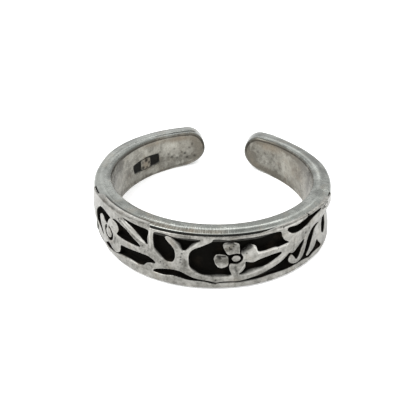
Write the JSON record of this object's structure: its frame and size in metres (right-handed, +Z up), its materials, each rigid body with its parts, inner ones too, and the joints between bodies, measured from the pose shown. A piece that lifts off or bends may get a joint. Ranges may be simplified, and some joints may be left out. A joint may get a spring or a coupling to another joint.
{
  "type": "toe ring",
  "caption": "Open toe ring of cast silver: plain arms with rounded tips, and a raised panel of blossom and branches over dark hollows round the front.",
  "frame": {"origin": "on the surface that the ring rests on, under the middle of its hollow", "axes": "+Z up, out of the hollow; -Y towards the middle of the ornamented front; the opening between the tips lies at +Y"},
  "size_m": [0.0176, 0.0176, 0.0044],
  "materials": {
    "silver": "sterling silver, rubbed satin on what stands up, with dull tarnish and blackened hollows"
  },
  "bodies": {
    "root": {"band": "silver"}
  },
  "joints": []
}
